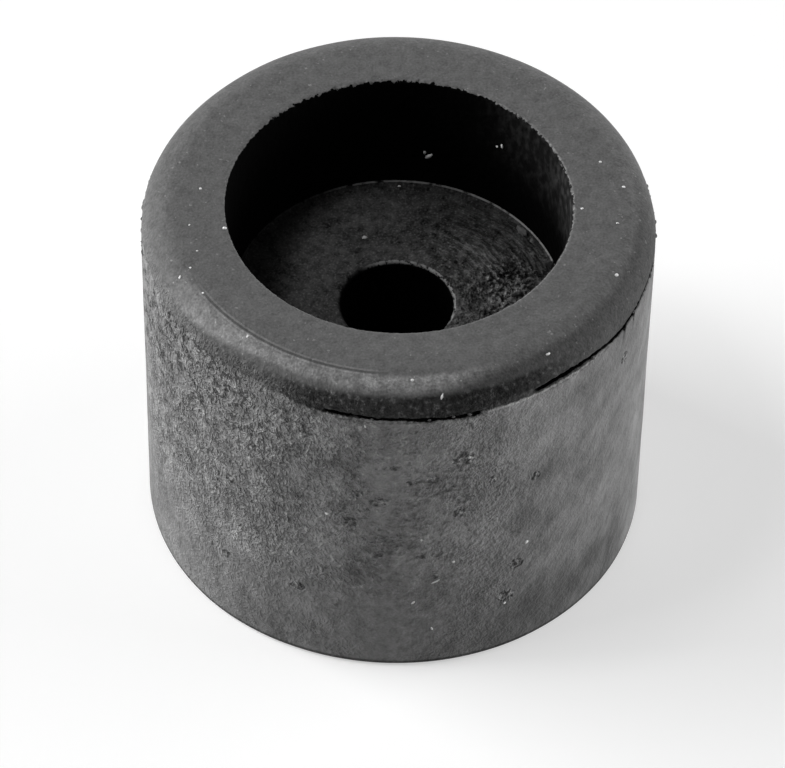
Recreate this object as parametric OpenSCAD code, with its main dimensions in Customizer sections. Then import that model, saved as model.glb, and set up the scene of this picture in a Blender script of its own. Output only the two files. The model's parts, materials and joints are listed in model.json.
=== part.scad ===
// Moulded rubber foot: a drafted round block with a deep recess in its top for
// a washer and bolt head, and a bolt hole through the floor of the recess.
// It stands on its base, with the bolt axis on Z and the base centre at the origin.

/* [Body] */
// Diameter at the parting line, where the foot is widest
body_d = 40; // [36:0.5:60]
// Height from the base to the top land
body_h = 32; // [20:0.5:50]
// Draft of the side wall below the parting line, in degrees
wall_draft = 1.1; // [0.2:0.1:3]
// Radius of the edge round the base
base_edge_r = 0.5; // [0.2:0.1:2]

/* [Cap] */
// Radius of the shoulder round the top land
shoulder_r = 2.9; // [1:0.1:3.2]
// Straight lip between the shoulder and the parting line
cap_lip = 0.1; // [0.05:0.05:1]

/* [Recess] */
// Diameter of the recess at its mouth
recess_d = 26.9; // [20:0.1:30]
// Depth of the recess
recess_depth = 11; // [4:0.5:16]
// Draft of the recess wall, in degrees
recess_draft = 2.2; // [0.2:0.1:4]
// Radius of the edge round the recess mouth
mouth_edge_r = 0.3; // [0.1:0.1:0.8]
// Radius of the fillet where the recess wall meets its floor
floor_fillet_r = 0.4; // [0.1:0.1:1.5]

/* [Bolt hole] */
// Diameter of the bolt that holds the foot
bolt_d = 8; // [4:0.5:12]
// Clearance of the hole round the bolt, on the diameter
bolt_clearance = 0.8; // [0.2:0.1:1.5]
// Radius of the hole's edge in the recess floor
hole_edge_r = 0.5; // [0.2:0.1:1.2]
// Radius of the hole's edge in the base
hole_exit_r = 0.3; // [0.1:0.1:1.2]

/* [Crevice under the cap] */
// Height of the torn crevice where it opens in the side
crevice_h = 0.35; // [0.1:0.05:0.8]
// Depth of the crevice, inwards from the parting line
crevice_depth = 0.4; // [0.1:0.05:1]
// Where the front crevice starts, in degrees anticlockwise from +X
front_crevice_start = 254; // [240:1:262]
// How far round the front crevice runs, in degrees
front_crevice_sweep = 36; // [10:1:40]
// Where the right crevice starts, in degrees anticlockwise from +X
right_crevice_start = 303; // [303:1:320]
// How far round the right crevice runs, in degrees
right_crevice_sweep = 56; // [10:1:90]

/* [Hidden] */
$fn = 96;
RUBBER = [0.33, 0.33, 0.33];

// Heights and radii of the moulded section
body_r = body_d / 2;
parting_z = body_h - shoulder_r - cap_lip;
base_r = body_r - parting_z * tan(wall_draft);
floor_z = body_h - recess_depth;
mouth_r = recess_d / 2;
floor_r = mouth_r - recess_depth * tan(recess_draft);
hole_r = (bolt_d + bolt_clearance) / 2;

// Corners of the half-section as [radius, height], before any edge is rounded
base_corner = [base_r, 0];
parting_corner = [body_r, parting_z];
top_corner = [body_r, body_h];
mouth_corner = [mouth_r, body_h];
floor_corner = [floor_r, floor_z];
hole_corner = [hole_r, floor_z];
exit_corner = [hole_r, 0];

function unit(v) = v / norm(v);

// The sliver between a corner and the arc of radius r that rounds it, with a
// and b the corners on either side: cut from an outer edge, added in an inner one
module corner_sliver(a, corner, b, r) {
    to_a = unit(a - corner);
    to_b = unit(b - corner);
    half_angle = acos(to_a * to_b) / 2;
    tangent = r / tan(half_angle);
    centre = corner + unit(to_a + to_b) * r / sin(half_angle);
    difference() {
        polygon([corner, corner + to_a * tangent, centre, corner + to_b * tangent]);
        translate(centre) circle(r = r);
    }
}

// Half-section of the moulding, from the bolt hole out to the side wall
module moulded_section() {
    difference() {
        polygon([
            exit_corner, base_corner, parting_corner, top_corner,
            mouth_corner, floor_corner, hole_corner
        ]);
        corner_sliver(exit_corner, base_corner, parting_corner, base_edge_r);
        corner_sliver(parting_corner, top_corner, mouth_corner, shoulder_r);
        corner_sliver(top_corner, mouth_corner, floor_corner, mouth_edge_r);
        corner_sliver(floor_corner, hole_corner, exit_corner, hole_edge_r);
        corner_sliver(hole_corner, exit_corner, base_corner, hole_exit_r);
    }
    corner_sliver(mouth_corner, floor_corner, hole_corner, floor_fillet_r);
}

// Notch torn out along the parting line, from one angle through a sweep: a wedge
// that points inwards, crevice_h high at the side wall and twice that out beyond it
module crevice(start, sweep) {
    rotate_extrude(angle = sweep, start = start)
        polygon([
            [body_r - crevice_depth, parting_z],
            [body_r + crevice_depth, parting_z - crevice_h],
            [body_r + crevice_depth, parting_z + crevice_h]
        ]);
}

module foot() {
    color(RUBBER)
        difference() {
            rotate_extrude() moulded_section();
            crevice(front_crevice_start, front_crevice_sweep);
            crevice(right_crevice_start, right_crevice_sweep);
        }
}

foot();
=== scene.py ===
import json
import math
import random

import bpy
from mathutils import Matrix, Vector


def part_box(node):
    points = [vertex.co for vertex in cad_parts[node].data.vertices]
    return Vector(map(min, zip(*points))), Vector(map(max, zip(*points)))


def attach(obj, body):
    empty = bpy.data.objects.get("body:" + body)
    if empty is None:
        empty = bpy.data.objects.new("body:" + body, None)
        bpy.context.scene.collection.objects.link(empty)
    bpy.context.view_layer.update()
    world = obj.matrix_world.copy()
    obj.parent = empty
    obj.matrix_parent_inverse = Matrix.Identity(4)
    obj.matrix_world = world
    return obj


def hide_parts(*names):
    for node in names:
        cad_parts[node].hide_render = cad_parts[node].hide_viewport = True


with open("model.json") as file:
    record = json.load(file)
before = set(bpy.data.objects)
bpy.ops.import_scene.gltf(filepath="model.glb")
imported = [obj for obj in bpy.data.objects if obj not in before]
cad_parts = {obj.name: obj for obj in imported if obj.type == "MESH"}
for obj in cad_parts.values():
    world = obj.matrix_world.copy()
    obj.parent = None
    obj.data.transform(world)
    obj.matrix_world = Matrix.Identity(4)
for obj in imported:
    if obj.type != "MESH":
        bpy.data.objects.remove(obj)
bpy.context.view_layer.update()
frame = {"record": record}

# The moulded foot: one lump of black rubber, pressed in a two-part mould and turned out
# with a little draft. The upper half leaves a smooth cap over the parting line, and the
# recess and bolt hole are left by a core pin whose edges tear the rubber as it is drawn.
MM = 0.001
foot_low, foot_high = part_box("foot")
mounts = {mount["name"]: mount for mount in frame["record"]["mounts"]}
body_r = -foot_low[0]
top_z = foot_high[2]
hole_r = mounts["bolt_hole"]["dims"]["r_mm"] * MM
floor_z = mounts["washer_seat"]["pos_m"][2]
shoulder_r = 2.9 * MM
cap_lip = 0.1 * MM
parting_z = top_z - shoulder_r - cap_lip
wall_draft = math.radians(1.1)
base_r = body_r - parting_z * math.tan(wall_draft)
mouth_r = 13.45 * MM
recess_draft = math.radians(2.2)
floor_r = mouth_r - (top_z - floor_z) * math.tan(recess_draft)
crevice_depth = 0.4 * MM
crevice_half = 0.24 * MM


def rounded(before, corner, after, radius, steps):
    """Points of the arc that rounds one corner of the section, from its first side to its second"""
    one = (before - corner).normalized()
    two = (after - corner).normalized()
    half = one.angle(two) / 2
    centre = corner + (one + two).normalized() * radius / math.sin(half)
    start = corner + one * radius / math.tan(half) - centre
    end = corner + two * radius / math.tan(half) - centre
    turn = start.angle_signed(end)
    return [centre + Matrix.Rotation(-turn * i / steps, 2) @ start for i in range(steps + 1)]


def between(start, end, steps):
    """Points that divide a straight run into equal steps, without its two ends"""
    return [start.lerp(end, i / steps) for i in range(1, steps)]


# Corners of the half-section as radius and height, before their edges are rounded
exit_corner = Vector((hole_r, 0.0))
base_corner = Vector((base_r, 0.0))
parting_corner = Vector((body_r, parting_z))
top_corner = Vector((body_r, top_z))
mouth_corner = Vector((mouth_r, top_z))
floor_corner = Vector((floor_r, floor_z))
hole_corner = Vector((hole_r, floor_z))

base_edge = rounded(exit_corner, base_corner, parting_corner, 0.5 * MM, 4)
shoulder = rounded(parting_corner, top_corner, mouth_corner, shoulder_r, 14)
mouth_edge = rounded(top_corner, mouth_corner, floor_corner, 0.3 * MM, 6)
floor_fillet = rounded(mouth_corner, floor_corner, hole_corner, 0.4 * MM, 4)
hole_edge = rounded(floor_corner, hole_corner, exit_corner, 0.5 * MM, 5)
exit_edge = rounded(hole_corner, exit_corner, base_corner, 0.3 * MM, 2)
crevice_foot = Vector((body_r, parting_z - 1.6 * crevice_half))
crevice = [
    parting_corner + Vector((-crevice_depth * depth, crevice_half * height))
    for depth, height in ((0.0, -1.0), (0.5, -0.7), (1.0, -0.2), (1.0, 0.2), (0.5, 0.7), (0.0, 0.9))
]
near_mouth = mouth_edge[0] + Vector((0.45 * MM, 0.0))
in_mouth = mouth_edge[-1] - Vector((0.0, 0.45 * MM))
section = [
    *exit_edge, *between(exit_edge[-1], base_edge[0], 4),
    *base_edge, *between(base_edge[-1], crevice_foot, 12), crevice_foot, *crevice,
    *shoulder[1:], *between(shoulder[-1], near_mouth, 4), near_mouth, *between(near_mouth, mouth_edge[0], 3),
    *mouth_edge, *between(mouth_edge[-1], in_mouth, 3), in_mouth, *between(in_mouth, floor_fillet[0], 6),
    *floor_fillet, *between(floor_fillet[-1], hole_edge[0], 12),
    *hole_edge, *between(hole_edge[-1], exit_edge[0], 3),
]


class Wire:
    """The end of one node that another can read: arithmetic on it adds Math nodes"""

    def __init__(self, socket):
        self.socket = socket
        self.tree = socket.id_data

    def __add__(self, other):
        return maths("ADD", self, other)

    def __sub__(self, other):
        return maths("SUBTRACT", self, other)

    def __mul__(self, other):
        return maths("MULTIPLY", self, other)

    def __truediv__(self, other):
        return maths("DIVIDE", self, other)

    def __radd__(self, other):
        return maths("ADD", other, self)

    def __rsub__(self, other):
        return maths("SUBTRACT", other, self)

    def __rmul__(self, other):
        return maths("MULTIPLY", other, self)

    def __rtruediv__(self, other):
        return maths("DIVIDE", other, self)


def place(tree, kind, settings, sockets):
    """Adds a node, sets it up, then fills or wires the sockets given by name or number"""
    node = tree.nodes.new(kind)
    for name, value in settings.items():
        setattr(node, name, value)
    for name, value in sockets.items():
        if isinstance(value, Wire):
            tree.links.new(value.socket, node.inputs[name])
        else:
            node.inputs[name].default_value = value
    return node


def maths(operation, *values):
    tree = next(value.tree for value in values if isinstance(value, Wire))
    node = place(tree, "ShaderNodeMath", {"operation": operation}, dict(enumerate(values)))
    return Wire(node.outputs[0])


def vector(tree, x, y, z):
    return Wire(place(tree, "ShaderNodeCombineXYZ", {}, {0: x, 1: y, 2: z}).outputs[0])


def apart(wire):
    """The three parts of a vector"""
    return [Wire(out) for out in place(wire.tree, "ShaderNodeSeparateXYZ", {}, {0: wire}).outputs]


def along(operation, one, two):
    """Vector Math on two vectors, of which the first is a wire"""
    node = place(one.tree, "ShaderNodeVectorMath", {"operation": operation}, {0: one, 1: two})
    return Wire(node.outputs[0])


def rise(value, start, end):
    """0 where the value is at start, 1 where it is at end, with a smooth change between"""
    settings = {"interpolation_type": "SMOOTHSTEP", "clamp": False}
    node = place(value.tree, "ShaderNodeMapRange", settings, {0: value, 1: start, 2: end})
    return Wire(node.outputs[0])


def noise(at, grain, detail, seed, twist=0.0):
    """Noise from 0 to 1 whose lumps are about one grain across, drawn into threads by the twist"""
    sockets = {"Vector": at, "W": seed, "Scale": 1 / grain, "Detail": detail, "Distortion": twist}
    node = place(at.tree, "ShaderNodeTexNoise", {"noise_dimensions": "4D"}, sockets)
    return Wire(node.outputs[0])


def torn(right, back):
    """1 where the crevice gapes: at the front, and from the front round to the right"""
    front = rise(right, -0.33, -0.20) * rise(right, 0.36, 0.30) * rise(back, -0.5, -0.8)
    return maths("MAXIMUM", front, rise(right, 0.50, 0.60) * rise(back, 0.25, -0.05))


def moulding_tree():
    """Sweeps the half-section round the axis, then tears and waves the rubber"""
    tree = bpy.data.node_groups.new("moulding", "GeometryNodeTree")
    sockets = {}
    for name, kind in (
        ("Section", "NodeSocketGeometry"), ("Segments", "NodeSocketInt"),
        ("Mouth tear", "NodeSocketFloat"), ("Flash", "NodeSocketFloat"),
        ("Wall wave", "NodeSocketFloat"), ("Seed", "NodeSocketFloat"),
        ("Rubber", "NodeSocketMaterial"),
    ):
        sockets[name] = tree.interface.new_socket(name, in_out="INPUT", socket_type=kind)
    tree.interface.new_socket("Foot", in_out="OUTPUT", socket_type="NodeSocketGeometry")
    group = tree.nodes.new("NodeGroupInput")
    given = {name: Wire(group.outputs[name]) for name in sockets}
    seed = given["Seed"]

    profile = place(tree, "GeometryNodeMeshToCurve", {}, {0: given["Section"]})
    profile_place = Wire(tree.nodes.new("GeometryNodeInputPosition").outputs[0])
    held = place(tree, "GeometryNodeCaptureAttribute", {"domain": "POINT"}, {0: Wire(profile.outputs[0])})
    held.capture_items.new("VECTOR", "Place")
    tree.links.new(profile_place.socket, held.inputs[1])
    ring = place(tree, "GeometryNodeCurvePrimitiveCircle", {}, {"Resolution": given["Segments"], "Radius": body_r})
    index = Wire(tree.nodes.new("GeometryNodeInputIndex").outputs[0])
    turned = place(tree, "GeometryNodeCaptureAttribute", {"domain": "POINT"}, {0: Wire(ring.outputs[0])})
    turned.capture_items.new("FLOAT", "Turn")
    tree.links.new((index * math.tau / given["Segments"]).socket, turned.inputs[1])
    swept = place(
        tree, "GeometryNodeCurveToMesh", {},
        {"Curve": Wire(turned.outputs[0]), "Profile Curve": Wire(held.outputs[0])},
    )

    outwards = place(tree, "GeometryNodeFlipFaces", {}, {0: Wire(swept.outputs[0])})

    radius, height, _ = apart(Wire(held.outputs[1]))
    turn = Wire(turned.outputs[1])
    right = maths("COSINE", turn)
    back = maths("SINE", turn)
    at = vector(tree, radius * right, radius * back, height)

    # The crevice along the parting line: torn open at the front and on the right, shut elsewhere
    ragged = noise(at, 0.5 * MM, 3.0, seed)
    tear = torn(right, back) * (0.5 + 0.5 * rise(noise(at, 1.4 * MM, 2.0, seed + 3), 0.3, 0.45))
    skin_depth = body_r - radius
    on_parting = rise(maths("ABSOLUTE", height - parting_z), 1.6 * crevice_half, crevice_half)
    in_crevice = on_parting * rise(radius, body_r - 1.5 * crevice_depth, body_r - 1.1 * crevice_depth)
    shut = in_crevice * skin_depth * (1 - tear * (0.8 + 1.1 * ragged))
    wander = rise(maths("ABSOLUTE", height - parting_z), 2.5 * MM, 0.0) * rise(radius, 16 * MM, 19 * MM)
    crevice_rise = wander * (noise(at, 9 * MM, 1.0, seed + 5) - 0.4) * 1.6 * MM
    gape = 3.4 * (noise(at, 0.8 * MM, 3.0, seed + 7) - 0.5) + 0.25 * rise(right, 0.4, 0.6) + 0.4 * rise(right, 0.72, 0.86)
    gape = maths("MINIMUM", gape, 0.5)
    crevice_fray = in_crevice * tear * ((height - parting_z) * gape + (ragged - 0.5) * 0.3 * MM)

    # Flash: thin crumbs that the mould squeezed out and the trimming left
    crumbs = rise(noise(at, 0.8 * MM, 2.0, seed + 9), 0.60, 0.74)
    flash = in_crevice * crumbs * given["Flash"]

    # The recess mouth, nibbled where the core pin dragged, most of all at the back
    edge_height = height - top_z
    edge_radius = radius - mouth_r
    from_mouth = maths("SQRT", edge_height * edge_height + edge_radius * edge_radius)
    at_mouth = rise(from_mouth, 0.5 * MM, 0.1 * MM)
    dragged = at_mouth * (0.25 + 0.75 * rise(back + 0.5 * right, -0.3, 0.6)) * given["Mouth tear"]
    nibble = dragged * (noise(at, 0.36 * MM, 2.0, seed + 13) - 0.5) * 3.5
    chipped = dragged * rise(noise(at, 0.7 * MM, 2.0, seed + 17), 0.5, 0.75)

    # The hole's edge in the recess floor, frayed on its right
    hole_height = height - floor_z
    hole_radius = radius - hole_r
    from_hole = maths("SQRT", hole_height * hole_height + hole_radius * hole_radius)
    frayed = rise(from_hole, 0.9 * MM, 0.2 * MM) * (0.4 + 0.6 * rise(right, 0.0, 0.6))
    fray = frayed * (noise(at, 0.5 * MM, 2.0, seed + 19) - 0.5) * 0.35 * MM

    # Long waves of the side wall and the land, as rubber shrinks unevenly
    outside = rise(radius, mouth_r + 0.5 * MM, mouth_r + 1.5 * MM)
    wave = outside * (noise(at, 8 * MM, 1.0, seed + 23) - 0.5) * given["Wall wave"]

    out = shut + nibble + 0.5 * chipped + flash + fray + wave
    lift = crevice_rise + crevice_fray - chipped - outside * 0.3 * wave * rise(height, parting_z, top_z)
    final_radius = radius + out
    moved = place(
        tree, "GeometryNodeSetPosition", {},
        {
            "Geometry": Wire(outwards.outputs[0]),
            "Position": vector(tree, final_radius * right, final_radius * back, height + lift),
        },
    )
    smooth = place(tree, "GeometryNodeSetShadeSmooth", {}, {"Geometry": Wire(moved.outputs[0])})
    # Marks where the crevice stands open; the rubber's material paints it black as painted shade
    gap = in_crevice * tear * rise(skin_depth, 0.05 * MM, 0.15 * MM)
    marked = place(
        tree, "GeometryNodeStoreNamedAttribute", {"data_type": "FLOAT", "domain": "POINT"},
        {"Geometry": Wire(smooth.outputs[0]), "Name": "gap", "Value": gap},
    )
    real = place(tree, "GeometryNodeRealizeInstances", {}, {"Geometry": Wire(marked.outputs[0])})
    finished = place(
        tree, "GeometryNodeSetMaterial", {},
        {"Geometry": Wire(real.outputs[0]), "Material": given["Rubber"]},
    )
    end = tree.nodes.new("NodeGroupOutput")
    tree.links.new(finished.outputs[0], end.inputs[0])
    return tree, sockets


def grown(start, tree, sockets, values, name):
    """The plain mesh that a node tree grows from a starting mesh, as a new object"""
    modifier = start.modifiers.new("grow", "NODES")
    modifier.node_group = tree
    for socket_name, value in values.items():
        modifier[sockets[socket_name].identifier] = value
    bpy.context.view_layer.update()
    evaluated = start.evaluated_get(bpy.context.evaluated_depsgraph_get())
    mesh = bpy.data.meshes.new_from_object(evaluated)
    start.modifiers.clear()
    bpy.data.objects.remove(start)
    mesh.name = name
    if mesh.materials[0] is None:
        mesh.materials.pop(index=0)
    piece = bpy.data.objects.new(name, mesh)
    bpy.context.collection.objects.link(piece)
    return piece


def spots_at(wire, spots):
    """1 at each spot on the side wall, given as azimuth, height and size in millimetres, and 0 away from them"""
    found = 0.0
    for azimuth, height_mm, size_mm in spots:
        turn = math.radians(azimuth)
        radius = body_r - (parting_z - height_mm * MM) * math.tan(wall_draft)
        spot = (math.sin(turn) * radius, -math.cos(turn) * radius, height_mm * MM)
        node = place(wire.tree, "ShaderNodeVectorMath", {"operation": "DISTANCE"}, {0: wire, 1: spot})
        found = maths("MAXIMUM", found, rise(Wire(node.outputs["Value"]), size_mm * MM, 0.3 * size_mm * MM))
    return found


def drawn_out(wire, direction, times):
    """The place with one direction squeezed, so that noise on it is drawn out that many times"""
    way = Vector(direction).normalized()
    run = place(wire.tree, "ShaderNodeVectorMath", {"operation": "DOT_PRODUCT"}, {0: wire, 1: tuple(way)})
    run = Wire(run.outputs["Value"]) * (1 - 1 / times)
    return along("SUBTRACT", wire, vector(wire.tree, run * way.x, run * way.y, run * way.z))


def rubber_material():
    """Black rubber: a smooth satin cap, a chalky pitted side, and a recess painted near-black as painted shade"""
    material = bpy.data.materials.new("moulded_rubber")
    material.use_nodes = True
    tree = material.node_tree
    shader = tree.nodes["Principled BSDF"]
    at = Wire(place(tree, "ShaderNodeTexCoord", {}, {}).outputs["Object"])
    x, y, height = apart(at)
    radius = maths("SQRT", x * x + y * y)
    right = x / radius
    back = y / radius
    mottle = noise(at, 0.7 * MM, 3.0, 10.0)
    ragged = noise(at, 0.28 * MM, 2.0, 12.0)

    # Where each finish lies; the painted black shade of the recess breaks over its mouth in small teeth
    tooth = (noise(at, 0.34 * MM, 2.0, 22.0) - 0.5) * 1.3 * MM * (0.2 + 0.8 * rise(back + 0.5 * right, -0.2, 0.8))
    round_mouth = radius - mouth_r + maths("MAXIMUM", height - top_z, -1.5 * MM)
    outside = rise(round_mouth + tooth, -0.06 * MM, 0.04 * MM)
    left_front = rise(right, -0.25, -0.55) * rise(back, 0.2, -0.2)
    lit_far_left = rise(right, -0.66, -0.90) * rise(back, 0.5, 0.1)
    climb = left_front * (1.2 * mottle - 0.2)
    skin_edge = height + (ragged - 0.5) * 0.5 * MM - climb * MM
    below = rise(skin_edge, parting_z + 0.10 * MM + 0.6 * MM * left_front, parting_z - 0.05 * MM)
    side = outside * below * rise(height, 0.0, 0.25 * MM)
    cap = outside * (1 - below)
    deep = 1 - outside
    on_floor = deep * rise(height, floor_z + 0.25 * MM, floor_z + 0.1 * MM) * rise(radius, hole_r, hole_r + 0.3 * MM)

    # Relief of the side: torn and pitted on the left, lumpy at the front, drawn and soft to the right
    left = rise(right, 0.15, -0.7)
    middle = rise(right, -0.6, -0.2) * rise(right, 0.65, 0.35)
    low = rise(height + 8 * MM * (mottle - 0.5), 15 * MM, 4 * MM)
    patch = rise(noise(at, 4.0 * MM, 1.0, 4.0), 0.42, 0.60)
    rough_share = (0.06 + 0.94 * left * (0.65 + 0.5 * patch)) * (1 - 0.80 * low) * (1 - 0.6 * rise(right, -0.93, -0.985)) + 0.5 * middle * patch * (1 - 0.4 * low) * rise(right, 0.55, 0.30)
    grain = noise(drawn_out(at, (0.0, 0.0, 1.0), 1.5), 0.44 * MM, 3.0, 1.0, 1.1)
    fine = noise(at, 0.20 * MM, 2.0, 2.0)
    smears = noise(drawn_out(at, (0.35, 0.61, 0.71), 1.4), 2.0 * MM, 3.0, 3.0)
    runs = noise(drawn_out(at, (0.0, 0.0, 1.0), 3.0), 1.5 * MM, 3.0, 11.0)
    worms = rise(maths("ABSOLUTE", noise(at, 0.6 * MM, 1.0, 18.0) - 0.5), 0.10, 0.03)
    worms = worms * rise(noise(at, 2.8 * MM, 1.0, 19.0), 0.44, 0.56)
    worms = worms * rise(noise(at, 0.5 * MM, 1.0, 21.0), 0.50, 0.62) * middle * (1 - 0.7 * low)
    split = maths("ABSOLUTE", noise(drawn_out(at, (0.0, 0.0, 1.0), 1.6), 0.60 * MM, 2.0, 41.0, 0.9) - 0.5)
    upper = rise(height, 16 * MM, 25 * MM)
    cracks = (0.6 + 0.5 * upper) * left * (1 - low) * rise(split, 0.08, 0.02) * rise(noise(at, 0.9 * MM, 2.0, 42.0), 0.45, 0.55)
    sores = spots_at(at, (
        (15.5, 24.0, 1.3), (-8, 20.2, 0.8), (-3.5, 19.5, 0.9), (9, 22, 0.8), (4, 21.7, 0.6), (15, 17.7, 0.8),
        (-9.5, 16.8, 0.9), (-3, 13.3, 0.5), (10, 10.5, 0.5), (6.5, 13, 0.6), (0, 23.5, 0.5), (22.5, 20.8, 0.7),
        (29.5, 9.8, 1.0), (27, 6.3, 1.2), (-40, 16.8, 0.7), (-22, 7.8, 0.9), (-41.5, 7.5, 0.7),
        (-42.5, 26.5, 1.3), (-20, 26.3, 1.0), (33.5, 19.3, 0.7), (62.5, 25, 0.9),
    ))
    sores = rise(sores + 1.6 * (noise(at, 0.9 * MM, 2.0, 27.0) - 0.5), 0.42, 0.72)
    crag = noise(at, 0.38 * MM, 2.0, 14.0)
    drawn = rise(right, 0.2, 0.65)
    pale = rise(right, 0.32, 0.50) * rise(right, 0.85, 0.60) * rise(height, 19 * MM, 24 * MM)
    side_relief = (1.7 * (grain - 0.5) + 1.0 * (fine - 0.5)) * rough_share + 0.15 * (fine - 0.5)
    side_relief = side_relief + (0.3 + 0.7 * drawn) * (1 - 0.7 * pale) * (smears - 0.5) + 0.5 * (1 - 0.5 * drawn) * (mottle - 0.5)
    side_relief = side_relief + 0.6 * middle * (1 - 0.5 * low) * (1 - 0.8 * pale) * (crag - 0.5)
    pitted = middle * patch * rise(height, 9 * MM, 13 * MM) * rise(height, 26 * MM, 22 * MM) * rise(right, 0.45, 0.25)
    pits = pitted * rise(noise(at, 0.48 * MM, 2.0, 15.0), 0.50, 0.38)
    side_relief = side_relief + 2.5 * sores * (crag - 0.55) - 0.12 * worms - 0.34 * cracks - 0.28 * pits
    satin = 0.12 * (fine - 0.5) + 0.25 * (mottle - 0.5)
    ringed = vector(tree, radius, right * 3 * MM, back * 3 * MM)
    swirl = noise(ringed, 0.35 * MM, 2.0, 8.0)
    deep_relief = on_floor * (0.8 * rise(right, 0.0, 0.7) * (swirl - 0.5) + 0.9 * (mottle - 0.5) * rise(right, -0.2, 0.8))
    deep_relief = deep_relief + 0.5 * (1 - on_floor) * (mottle - 0.5)
    deep_relief = deep_relief + 1.8 * on_floor * rise(right, 0.80, 0.93) * rise(radius, 11.6 * MM, 10.4 * MM) * (crag - 0.5)
    relief = side * side_relief + deep * deep_relief + cap * satin
    relief = relief + cap * rise(height, top_z - 1.0 * MM, top_z - 1.8 * MM) * (0.9 * (grain - 0.5) + 0.5 * (fine - 0.5)) * rise(right, 0.5, 0.3)

    # Tones of the side: chalky bloom in patches, dark in the pits and in the runs; painted light on the upper wall and
    # along its top edge, and painted shade along its bottom edge
    bloom = noise(at, 6 * MM, 2.0, 9.0)
    dots = rise(grain, 0.45, 0.34) * rough_share
    chalk = rise(grain, 0.54, 0.68) * rough_share
    shade = 1 + 0.9 * (bloom - 0.5) + (1.2 * (mottle - 0.5) + 0.8 * (fine - 0.5)) * (1 - 0.55 * drawn)
    shade = shade + 0.9 * (runs - 0.5) * (1 - 0.5 * drawn) + 1.15 * drawn * (smears - 0.5)
    # Darker towards the bottom on the right of the side wall
    low_darkening = rise(height, 10 * MM, 3 * MM) * rise(right, 0.15, 0.45) * rise(right, 0.98, 0.88)
    smudges = spots_at(at, ((31, 14.5, 2.4), (53.5, 4.8, 2.2), (47.5, 3.0, 1.5), (38, 19.0, 2.0)))
    side_tone = 0.180 * (1 + 0.13 * middle - 0.04 * drawn) * shade * (1 - 0.42 * low_darkening) * (1 - 0.5 * dots) * (1 + 0.8 * chalk) * (1 - 0.7 * cracks) * (1 + 0.22 * pale)
    side_tone = side_tone * (1 - 0.65 * sores * rise(crag, 0.52, 0.42)) * (1 + 0.9 * sores * rise(crag, 0.54, 0.66))
    # Painted light: above its lowest part the side wall is lightened everywhere but on the right
    side_tone = side_tone * (1 + 0.36 * (1 - low) * rise(right, 0.6, 0.1))
    # Painted highlight: a thin light line on the top edge of the side wall just under the crevice, at the front right
    lit_lip = rise(maths("ABSOLUTE", height - parting_z + 0.14 * MM), 0.16 * MM, 0.06 * MM) * rise(right, 0.15, 0.35) * rise(back, -0.5, -0.7)
    side_tone = side_tone * (1 + 0.45 * lit_lip)
    side_tone = side_tone * (1 - 0.35 * worms) * (1 - 0.28 * smudges) * (1 - 0.30 * pits)
    # Painted shade along the bottom edge of the side wall, broken up by noise
    side_tone = side_tone * (1 - 0.8 * rise(height, 0.72 * MM, 0.46 * MM) * rise(ragged, 0.2, 0.4))

    # Tones of the cap: even grey on the land, a painted highlight band on the front of the shoulder,
    # and a granular strip of painted shade between that band and the crevice
    band = rise(right, 0.50, 0.15) * rise(right, -0.99, -0.80) * rise(back, -0.25, -0.5)
    # Painted highlight: the front of the shoulder is lightened where a light from the left front would glint on it,
    # speckled by the grain
    painted_highlight = rise(height + 0.7 * MM * rise(right, -0.55, -0.85), top_z - 0.80 * MM - 0.25 * MM * rise(back, -0.93, -0.99), top_z - 0.48 * MM) * rise(height, top_z - 0.06 * MM, top_z - 0.26 * MM)
    painted_highlight = painted_highlight * band * (1 - 0.35 * rise(right, -0.60, -0.85)) * (1 + 0.75 * rise(right, -0.35, 0.05)) * (0.74 + 1.0 * (mottle - 0.5) + 0.9 * (fine - 0.5))
    front = rise(back, -0.55, -0.85) * rise(right, -0.55, -0.3) * rise(right, 0.75, 0.5)
    # Painted shade: the lower shoulder, most of all at the front, is darkened where it turns down away from the light,
    # with granular crumbs in it; it is made rougher too
    shaded_strip = rise(height, top_z - 0.90 * MM, top_z - 1.25 * MM) * (0.35 * rise(right, -0.90, -0.60) * rise(right, 0.85, 0.35) + 0.65 * front)
    shaded_strip = shaded_strip * (1 - 0.6 * rise(right, 0.2, 0.5) * rise(height, parting_z + 1.0 * MM, parting_z + 0.4 * MM))
    scored = rise(right, -0.90, -0.80) * rise(right, 0.0, -0.15) * rise(back, -0.2, -0.4)
    scored = scored * rise(maths("ABSOLUTE", radius - 17.78 * MM), 0.30 * MM, 0.22 * MM)
    groove = scored * rise(maths("ABSOLUTE", radius - 17.78 * MM), 0.14 * MM, 0.06 * MM)
    # Painted shade on the right of the shoulder, towards the front, which is also made rougher
    dull_and_shaded = rise(height, top_z - 0.15 * MM, top_z - 0.6 * MM) * rise(height, top_z - 3.2 * MM, top_z - 2.8 * MM)
    dull_and_shaded = dull_and_shaded * rise(right, 0.05, 0.35) * rise(back, 0.4, -0.2)
    sprinkle = rise(noise(at, 0.30 * MM, 1.0, 23.0), 0.68, 0.78)
    cap_tone = 0.121 * (0.97 + 0.9 * (mottle - 0.5) + 1.1 * (fine - 0.5)) * (1 + 1.0 * sprinkle)
    # Painted shade: the shoulder below the land is darkened towards the back
    cap_tone = cap_tone * (1 - 0.16 * rise(height, top_z - 0.1 * MM, top_z - 0.6 * MM) * rise(back, -0.1, 0.4))
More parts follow.
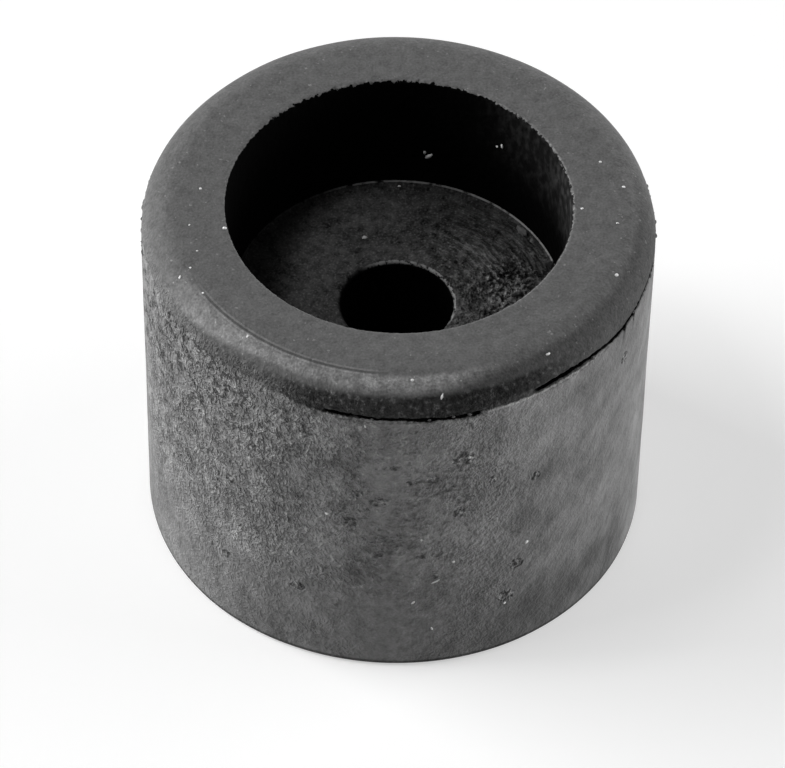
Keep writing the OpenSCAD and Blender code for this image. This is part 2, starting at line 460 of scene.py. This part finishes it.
    # Painted light: the lower shoulder on the far left is lightened
    cap_tone = cap_tone * (1 + 0.35 * lit_far_left * rise(height, top_z - 1.0 * MM, top_z - 1.8 * MM))
    cap_tone = cap_tone * (1 + 1.15 * painted_highlight) * (1 - 0.64 * shaded_strip) * (1 - 0.36 * dull_and_shaded)
    cap_tone = cap_tone * (1 + shaded_strip * (1.8 * rise(crag, 0.54, 0.66) - 0.6 * rise(crag, 0.48, 0.38))) * (1 + 0.5 * scored) * (1 - 0.55 * groove)

    # Tones of the recess: a wall painted near-black as painted shade, grey scuffs on the floor, a painted glint in its
    # corner
    # Painted glint: a thin pale line along the corner of the floor at the back, where its fillet would catch the light
    corner = deep * rise(maths("ABSOLUTE", height - floor_z - 0.2 * MM), 0.09 * MM, 0.04 * MM)
    corner = corner * rise(radius, floor_r - 0.5 * MM, floor_r - 0.3 * MM) * rise(back, 0.0, 0.5) * (0.2 + 0.8 * rise(right, -0.6, -0.2))
    ringed_share = rise(right, 0.0, 0.7)
    scuffs = 1 + 2.5 * (mottle - 0.5) + 1.6 * (grain - 0.5) + 1.7 * (fine - 0.5) + 0.35 * (patch - 0.5) + 0.8 * rise(fine, 0.56, 0.68)
    # Painted shade: the floor darkens towards its wall; it is also lighter right of its centre
    scuffs = scuffs * (1 + 0.5 * rise(right, -0.2, 0.6) * rise(radius, 10.5 * MM, 7.5 * MM)) * rise(radius, 19 * MM, 7 * MM)
    scuffs = scuffs * (1 - 0.55 * ringed_share * rise(swirl, 0.6, 0.4))
    # Painted highlight on the rounded edge of the bolt hole, at the back right, broken up by noise
    hole_glint = deep * rise(maths("ABSOLUTE", radius - hole_r - 0.12 * MM - (ragged - 0.5) * 0.3 * MM), 0.14 * MM, 0.05 * MM)
    hole_glint = hole_glint * rise(height, floor_z - 0.4 * MM, floor_z - 0.2 * MM) * rise(back + right, 0.1, 0.7)
    hole_glint = hole_glint * rise(ragged, 0.36, 0.52)
    torn_floor = on_floor * rise(right, 0.80, 0.93) * rise(radius, 6.6 * MM, 7.8 * MM) * rise(radius, 11.6 * MM, 10.4 * MM)
    drag = noise(drawn_out(at, (0.0, 0.0, 1.0), 1.6), 0.62 * MM, 4.0, 33.0)
    # Painted light and scuffs: the inner wall on the right is lightened towards the mouth, streaked by drawn-out noise
    dragged = deep * (1 - on_floor) * rise(right, 0.35, 0.90) * rise(back, -0.8, 0.2)
    dragged = dragged * rise(height, 23.5 * MM, 30.5 * MM) * (0.3 + 0.9 * rise(drag, 0.40, 0.68)) * (0.45 + 0.55 * rise(back, 0.6, 0.0))
    # Painted shade: the recess wall is painted near-black, far darker than the rubber outside
    deep_tone = 0.002 + 0.046 * dragged + on_floor * 0.098 * scuffs
    deep_tone = deep_tone * (1 + torn_floor * (1.5 * rise(crag, 0.54, 0.66) - 0.8 * rise(crag, 0.52, 0.42)))
    deep_tone = deep_tone + 0.30 * corner * rise(mottle, 0.36, 0.52) + 0.42 * hole_glint
    # Painted highlight: a thin broken pale line just outside the recess mouth, strongest on the right
    mouth_glint = rise(maths("ABSOLUTE", radius - mouth_r - 0.12 * MM), 0.14 * MM, 0.04 * MM) * rise(height, top_z - 0.4 * MM, top_z - 0.1 * MM)
    mouth_glint = mouth_glint * rise(ragged, 0.42, 0.6) * (0.4 + 0.6 * rise(right, 0.2, 0.9))
    tone = side * side_tone + cap * cap_tone + deep * deep_tone + 0.09 * mouth_glint * outside
    under = rise(height, 0.25 * MM, 0.0) * rise(radius, hole_r, hole_r + 0.3 * MM)
    tone = tone + under * 0.08 * (0.8 + 0.4 * mottle)
    # Painted shade: the open crevice is painted black and given the low-gloss finish, and the rubber along it is
    # darkened
    gap = rise(Wire(place(tree, "ShaderNodeAttribute", {"attribute_name": "gap"}, {}).outputs["Fac"]), 0.10, 0.45)
    shade_near_gap = rise(maths("ABSOLUTE", height - parting_z), 0.55 * MM, 0.25 * MM) * torn(right, back) * rise(ragged, 0.45, 0.6)
    tone = tone * (1 - 0.98 * gap) * (1 - 0.5 * shade_near_gap * outside)

    colour = place(tree, "ShaderNodeCombineColor", {}, {0: tone, 1: tone, 2: tone})
    rough = 0.52 * cap + 0.58 * side + 0.8 * deep + 0.1 * mottle + 0.35 * (shaded_strip + dull_and_shaded) * cap
    bump = place(tree, "ShaderNodeBump", {}, {"Strength": 1.0, "Distance": 0.45 * MM, "Height": relief})
    # A low-gloss finish for the recess and the open crevice, so that their painted shade stays black
    shaded_finish = tree.nodes.new("ShaderNodeBsdfPrincipled")
    for finish, gloss in ((shader, 0.2), (shaded_finish, 0.01)):
        finish.inputs["Specular IOR Level"].default_value = gloss
        tree.links.new(colour.outputs[0], finish.inputs["Base Color"])
        tree.links.new(rough.socket, finish.inputs["Roughness"])
        tree.links.new(bump.outputs[0], finish.inputs["Normal"])
    joined = place(tree, "ShaderNodeMixShader", {}, {0: maths("MAXIMUM", deep, gap), 1: Wire(shader.outputs[0]), 2: Wire(shaded_finish.outputs[0])})
    tree.links.new(joined.outputs[0], tree.nodes["Material Output"].inputs[0])
    return material


section_mesh = bpy.data.meshes.new("half_section")
section_mesh.from_pydata(
    [(point.x, point.y, 0.0) for point in section],
    [(i, (i + 1) % len(section)) for i in range(len(section))], [],
)
section_line = bpy.data.objects.new("half_section", section_mesh)
bpy.context.collection.objects.link(section_line)
foot_tree, foot_sockets = moulding_tree()
rubber = rubber_material()
foot_settings = {
    "Segments": 1080, "Mouth tear": 0.12 * MM, "Flash": 0.14 * MM, "Wall wave": 0.12 * MM,
    "Seed": 4.0, "Rubber": rubber,
}
foot = grown(section_line, foot_tree, foot_sockets, foot_settings, "rubber_foot")
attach(foot, "root")
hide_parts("foot")

# Crumbs of flash along the parting line, and the pale dust and lint that clings to black
# rubber. Each fleck is a tiny irregular grain that lies on the surface it is stuck to.
def on_cap(azimuth, radius_mm):
    """A place on the cap and its outward direction; azimuth 0 is the front, 90 the right"""
    turn = math.radians(azimuth)
    outward = Vector((math.sin(turn), -math.cos(turn), 0))
    across = max(0.0, radius_mm * MM - (body_r - shoulder_r))
    rise_angle = math.asin(min(1.0, across / shoulder_r))
    height = parting_z + cap_lip + shoulder_r * math.cos(rise_angle)
    normal = outward * math.sin(rise_angle) + Vector((0, 0, math.cos(rise_angle)))
    return outward * radius_mm * MM + Vector((0, 0, height)), normal


def on_side(azimuth, height_mm):
    turn = math.radians(azimuth)
    outward = Vector((math.sin(turn), -math.cos(turn), 0))
    radius = body_r - (parting_z - height_mm * MM) * math.tan(wall_draft)
    return outward * radius + Vector((0, 0, height_mm * MM)), outward


def in_recess(azimuth, height_mm):
    turn = math.radians(azimuth)
    outward = Vector((math.sin(turn), -math.cos(turn), 0))
    radius = mouth_r - (top_z - height_mm * MM) * math.tan(recess_draft)
    return outward * radius + Vector((0, 0, height_mm * MM)), -outward


def on_floor(azimuth, radius_mm):
    turn = math.radians(azimuth)
    return Vector((math.sin(turn), -math.cos(turn), 0)) * radius_mm * MM + Vector((0, 0, floor_z)), Vector((0, 0, 1))


def fleck_tree():
    """Sets one small grain on each point, lying along the surface and turned by its lean"""
    tree = bpy.data.node_groups.new("flecks", "GeometryNodeTree")
    sockets = {}
    for name, kind in (
        ("Points", "NodeSocketGeometry"), ("Rounds", "NodeSocketInt"), ("Crumple", "NodeSocketFloat"),
        ("Crumple grain", "NodeSocketFloat"), ("Seed", "NodeSocketFloat"), ("Finish", "NodeSocketMaterial"),
    ):
        sockets[name] = tree.interface.new_socket(name, in_out="INPUT", socket_type=kind)
    tree.interface.new_socket("Flecks", in_out="OUTPUT", socket_type="NodeSocketGeometry")
    group = tree.nodes.new("NodeGroupInput")
    given = {name: Wire(group.outputs[name]) for name in sockets}

    def kept(name, kind):
        node = place(tree, "GeometryNodeInputNamedAttribute", {"data_type": kind}, {"Name": name})
        return Wire(node.outputs["Attribute"])

    ball = place(tree, "GeometryNodeMeshIcoSphere", {}, {"Radius": 1.0, "Subdivisions": given["Rounds"]})
    grain = place(tree, "GeometryNodeSetMaterial", {}, {0: Wire(ball.outputs[0]), "Material": given["Finish"]})
    upright = place(tree, "FunctionNodeAlignRotationToVector", {"axis": "Z"}, {"Vector": kept("facing", "FLOAT_VECTOR")})
    lean = place(
        tree, "FunctionNodeAxisAngleToRotation", {},
        {"Axis": (0.0, 0.0, 1.0), "Angle": kept("lean", "FLOAT")},
    )
    turned = place(
        tree, "FunctionNodeRotateRotation", {"rotation_space": "LOCAL"},
        {0: Wire(upright.outputs[0]), 1: Wire(lean.outputs[0])},
    )
    set_out = place(
        tree, "GeometryNodeInstanceOnPoints", {},
        {
            "Points": given["Points"], "Instance": Wire(grain.outputs[0]),
            "Rotation": Wire(turned.outputs[0]), "Scale": kept("size", "FLOAT_VECTOR"),
        },
    )
    real = place(tree, "GeometryNodeRealizeInstances", {}, {0: Wire(set_out.outputs[0])})
    at = Wire(tree.nodes.new("GeometryNodeInputPosition").outputs[0])
    jitter = [
        (noise(at, given["Crumple grain"], 1.0, given["Seed"] + 7 * axis) - 0.5) * given["Crumple"]
        for axis in range(3)
    ]
    crumpled = place(tree, "GeometryNodeSetPosition", {}, {0: Wire(real.outputs[0]), "Offset": vector(tree, *jitter)})
    smooth = place(tree, "GeometryNodeSetShadeSmooth", {}, {0: Wire(crumpled.outputs[0])})
    finished = place(tree, "GeometryNodeSetMaterial", {}, {0: Wire(smooth.outputs[0]), "Material": given["Finish"]})
    end = tree.nodes.new("NodeGroupOutput")
    tree.links.new(finished.outputs[0], end.inputs[0])
    return tree, sockets


def flecks(name, places, finish, bulk, seed, rounds=2, crumple=0.12 * MM, crumple_grain=0.12 * MM):
    """One piece of many grains, each given as (place, facing), lean in degrees and size in millimetres"""
    mesh = bpy.data.meshes.new(name)
    mesh.from_pydata([spot for (spot, _), _, _ in places], [], [])
    for kept, kind in (("facing", "FLOAT_VECTOR"), ("lean", "FLOAT"), ("size", "FLOAT_VECTOR")):
        mesh.attributes.new(kept, kind, "POINT")
    for i, ((_, outward), degrees, dims) in enumerate(places):
        mesh.attributes["facing"].data[i].vector = outward
        mesh.attributes["lean"].data[i].value = math.radians(degrees)
        mesh.attributes["size"].data[i].vector = [part * MM * bulk / 2 for part in dims]
    start = bpy.data.objects.new(name, mesh)
    bpy.context.collection.objects.link(start)
    settings = {
        "Rounds": rounds, "Crumple": crumple, "Crumple grain": crumple_grain,
        "Seed": seed, "Finish": finish,
    }
    piece = grown(start, fleck_grain, fleck_sockets, settings, name)
    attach(piece, "root")


def plain_finish(name, tone, grain_mm):
    material = bpy.data.materials.new(name)
    material.use_nodes = True
    tree = material.node_tree
    shader = tree.nodes["Principled BSDF"]
    at = Wire(place(tree, "ShaderNodeTexCoord", {}, {}).outputs["Object"])
    mottle = tone * (0.6 + 0.8 * noise(at, grain_mm * MM, 2.0, 30.0))
    colour = place(tree, "ShaderNodeCombineColor", {}, {0: mottle, 1: mottle, 2: mottle})
    tree.links.new(colour.outputs[0], shader.inputs["Base Color"])
    shader.inputs["Roughness"].default_value = 0.8
    shader.inputs["Specular IOR Level"].default_value = 0.3
    return material


fleck_grain, fleck_sockets = fleck_tree()
dust_places = [
    (on_cap(68, 18.2), 20, (0.30, 0.26, 0.12)), (on_cap(90, 14.2), 0, (0.22, 0.20, 0.10)),
    (on_cap(108, 16.4), 60, (0.20, 0.18, 0.10)), (on_cap(85, 17.0), 0, (0.20, 0.16, 0.08)),
    (on_cap(98, 17.6), 0, (0.22, 0.22, 0.10)), (on_cap(38, 18.9), 35, (0.38, 0.15, 0.10)),
    (on_cap(-95, 15.5), 0, (0.20, 0.18, 0.08)), (on_cap(4, 18.3), 0, (0.22, 0.20, 0.10)),
    (on_cap(-65, 18.5), 70, (0.30, 0.20, 0.10)), (on_cap(-57, 17.8), 0, (0.18, 0.14, 0.06)),
    (on_cap(-78, 13.75), 0, (0.30, 0.25, 0.15)), (on_cap(10.6, 19.39), 80, (0.45, 0.14, 0.10)),
    (on_cap(-39, 18.1), 50, (0.24, 0.16, 0.08)), (on_cap(-71, 16.4), 0, (0.16, 0.14, 0.05)),
    (on_cap(-66, 17.5), 0, (0.15, 0.13, 0.05)), (on_cap(-81, 16.4), 0, (0.16, 0.14, 0.05)),
    (on_side(-6.5, 28.2), 90, (0.42, 0.14, 0.10)), (on_side(32, 11.8), 0, (0.32, 0.30, 0.15)),
    (on_side(10, 9.9), 40, (0.75, 0.14, 0.12)), (on_side(5, 7.6), 60, (0.40, 0.18, 0.12)),
    (on_side(17, 24), 0, (0.26, 0.22, 0.10)), (on_side(-15, 17.3), 0, (0.24, 0.24, 0.12)),
    (on_side(27, 5.4), 0, (0.22, 0.20, 0.10)), (on_side(14, 12), 0, (0.24, 0.22, 0.10)),
    (on_side(9.5, 4.3), 120, (0.35, 0.14, 0.10)), (on_side(6.5, 15), 90, (0.20, 0.14, 0.08)),
    (in_recess(170, 24.1), 35, (0.75, 0.30, 0.20)), (in_recess(171.5, 24.45), 80, (0.35, 0.22, 0.15)),
    (in_recess(143, 27.8), 60, (0.45, 0.20, 0.12)), (in_recess(145, 27.5), 20, (0.20, 0.16, 0.10)),
    (on_floor(201, 7.4), 0, (0.42, 0.30, 0.18)), (on_floor(180, 12.6), 0, (0.25, 0.16, 0.10)),
]
flecks("dust_and_lint", dust_places, plain_finish("pale_dust", 0.8, 0.3), 1.15, 51.0)

draw = random.Random(12)
crumb_places = []
for first, last, many in ((-112, -84, 9), (-84, -20, 12), (-20, 24, 7), (24, 84, 5), (84, 118, 14), (118, 248, 20)):
    for _ in range(many):
        azimuth = draw.uniform(first, last)
        spot, outward = on_side(azimuth, draw.gauss(29.05, 0.12))
        size = draw.uniform(0.12, 0.34)
        crumb_places.append(((spot, outward), draw.uniform(-40, 40), (1.5 * size, size, 0.9 * size)))
torn_rubber = plain_finish("torn_rubber", 0.11, 0.2)
torn_ridge = plain_finish("torn_ridge", 0.12, 0.2)
flecks("flash_crumbs", crumb_places, torn_rubber, 1.0, 63.0)
lump_places = [
    (on_floor(97, 9.4), 20, (1.3, 0.45, 0.45)), (on_floor(101, 10.0), 75, (0.9, 0.4, 0.4)),
    (on_floor(93, 9.0), -30, (1.0, 0.4, 0.4)), (on_floor(89, 7.7), 10, (0.8, 0.5, 0.35)),
    (on_floor(90, 8.5), 60, (0.9, 0.4, 0.4)), (on_floor(105, 10.8), -20, (0.9, 0.4, 0.35)),
    (on_floor(108, 11.3), 40, (0.7, 0.3, 0.4)), (on_floor(66, 5.1), 0, (0.3, 0.25, 0.2)),
    (on_floor(129, 12.5), 129, (1.5, 0.6, 1.0)), (on_floor(123, 12.6), 123, (0.6, 0.4, 0.4)),
]
for _ in range(30):
    spot = on_floor(draw.gauss(97, 8), draw.uniform(7.2, 11.4))
    size = draw.uniform(0.12, 0.3)
    lump_places.append((spot, draw.uniform(0, 180), (2 * size, size, size)))
flecks("floor_lumps", lump_places, torn_ridge, 0.8, 71.0, 3, 0.5 * MM, 0.35 * MM)

# The bench: a plain white sheet that the foot stands on. It shows white to the camera
# and in gloss, and it keeps the soft shadow round the foot.
bench_half = 1.5
bench_gap = 0.02 * MM


def bench_material():
    material = bpy.data.materials.new("white_sheet")
    material.use_nodes = True
    tree = material.node_tree
    shader = tree.nodes["Principled BSDF"]
    shader.inputs["Base Color"].default_value = (0.6, 0.6, 0.6, 1.0)
    shader.inputs["Roughness"].default_value = 0.9
    shader.inputs["Specular IOR Level"].default_value = 0.0
    path = place(tree, "ShaderNodeLightPath", {}, {})
    seen = maths("MAXIMUM", Wire(path.outputs["Is Camera Ray"]), Wire(path.outputs["Is Glossy Ray"]))
    seen = maths("MAXIMUM", seen, Wire(path.outputs["Is Transmission Ray"]))
    x, y, _ = apart(Wire(place(tree, "ShaderNodeTexCoord", {}, {}).outputs["Object"]))
    from_axis = maths("SQRT", x * x + y * y)
    far = rise(from_axis, 0.03, 0.09)
    white = place(tree, "ShaderNodeEmission", {}, {"Strength": 1.0})
    near_white = place(tree, "ShaderNodeEmission", {}, {"Strength": 0.5})
    lifted = place(tree, "ShaderNodeAddShader", {}, {0: Wire(shader.outputs[0]), 1: Wire(near_white.outputs[0])})
    shown = place(
        tree, "ShaderNodeMixShader", {},
        {0: far, 1: Wire(lifted.outputs[0]), 2: Wire(white.outputs[0])},
    )
    both = place(
        tree, "ShaderNodeMixShader", {},
        {0: seen * rise(from_axis, base_r - 1.2 * MM, base_r), 1: Wire(shader.outputs[0]), 2: Wire(shown.outputs[0])},
    )
    tree.links.new(both.outputs[0], tree.nodes["Material Output"].inputs[0])
    return material


bench_mesh = bpy.data.meshes.new("bench")
bench_mesh.from_pydata(
    [(side_x * bench_half, side_y * bench_half, -bench_gap) for side_x, side_y in ((-1, -1), (1, -1), (1, 1), (-1, 1))],
    [], [(0, 1, 2, 3)],
)
bench_mesh.materials.append(bench_material())
bench = bpy.data.objects.new("bench", bench_mesh)
bpy.context.collection.objects.link(bench)

# Studio light: a tall softbox on the left that does most of the work, lower ones on the
# right and behind, and a faint even light from all round.
LAMP_DISTANCE = 0.7


def softbox(name, azimuth, elevation, width, height, radiance, glare):
    """A rectangular lamp that faces the foot; azimuth 0 is the front and 90 the right"""
    light = bpy.data.lights.new(name, "AREA")
    light.shape = "RECTANGLE"
    light.size = width
    light.size_y = height
    light.energy = math.pi * width * height * radiance
    lamp = bpy.data.objects.new(name, light)
    bpy.context.collection.objects.link(lamp)
    turn = math.radians(azimuth)
    tilt = math.radians(elevation)
    away = Vector((math.sin(turn) * math.cos(tilt), -math.cos(turn) * math.cos(tilt), math.sin(tilt)))
    lamp.location = Vector((0, 0, top_z / 2)) + LAMP_DISTANCE * away
    lamp.rotation_euler = (-away).to_track_quat("-Z", "Y").to_euler()
    lamp.visible_glossy = glare


softbox("left_softbox", -102, 18, 0.50, 0.6, 8.4, False)
softbox("right_softbox", 100, 8, 0.6, 0.26, 12.0, False)
softbox("back_softbox", 172, 10, 0.5, 0.3, 0.8, False)
softbox("high_softbox", -75, 65.5, 0.15, 0.15, 12.8, True)

world = bpy.data.worlds.new("studio")
bpy.context.scene.world = world
world.use_nodes = True
world_tree = world.node_tree
surround = world_tree.nodes["Background"]
surround.inputs[0].default_value = (1, 1, 1, 1)
world_path = place(world_tree, "ShaderNodeLightPath", {}, {})
seen_white = maths("MAXIMUM", Wire(world_path.outputs["Is Camera Ray"]), Wire(world_path.outputs["Is Glossy Ray"]))
seen_white = maths("MAXIMUM", seen_white, Wire(world_path.outputs["Is Transmission Ray"]))
world_tree.links.new((0.06 + 0.94 * seen_white).socket, surround.inputs[1])

# The camera stands a good arm's length off and looks down on the foot with a long lens.
camera_distance = 0.8
camera_pitch = math.radians(47.2261)
camera_roll = math.radians(1.1311)
aim_right = -0.234 * MM
aim_up = -3.022 * MM
focal_px = 10168.16
frame_px = 785

ahead = Vector((0, math.cos(camera_pitch), -math.sin(camera_pitch)))
level_right = Vector((1, 0, 0))
level_up = level_right.cross(ahead)
turned_right = level_right * math.cos(camera_roll) + level_up * math.sin(camera_roll)
turned_up = level_up * math.cos(camera_roll) - level_right * math.sin(camera_roll)
eye = Vector((0, 0, top_z / 2)) - camera_distance * ahead + aim_right * level_right + aim_up * level_up
lens = bpy.data.cameras.new("camera")
lens.sensor_width = 36.0
lens.lens = focal_px * lens.sensor_width / frame_px
lens.clip_start = 0.01
camera = bpy.data.objects.new("camera", lens)
bpy.context.collection.objects.link(camera)
stand = Matrix((turned_right, turned_up, -ahead)).transposed().to_4x4()
stand.translation = eye
camera.matrix_world = stand
bpy.context.scene.camera = camera
bpy.context.scene.view_settings.view_transform = "Standard"
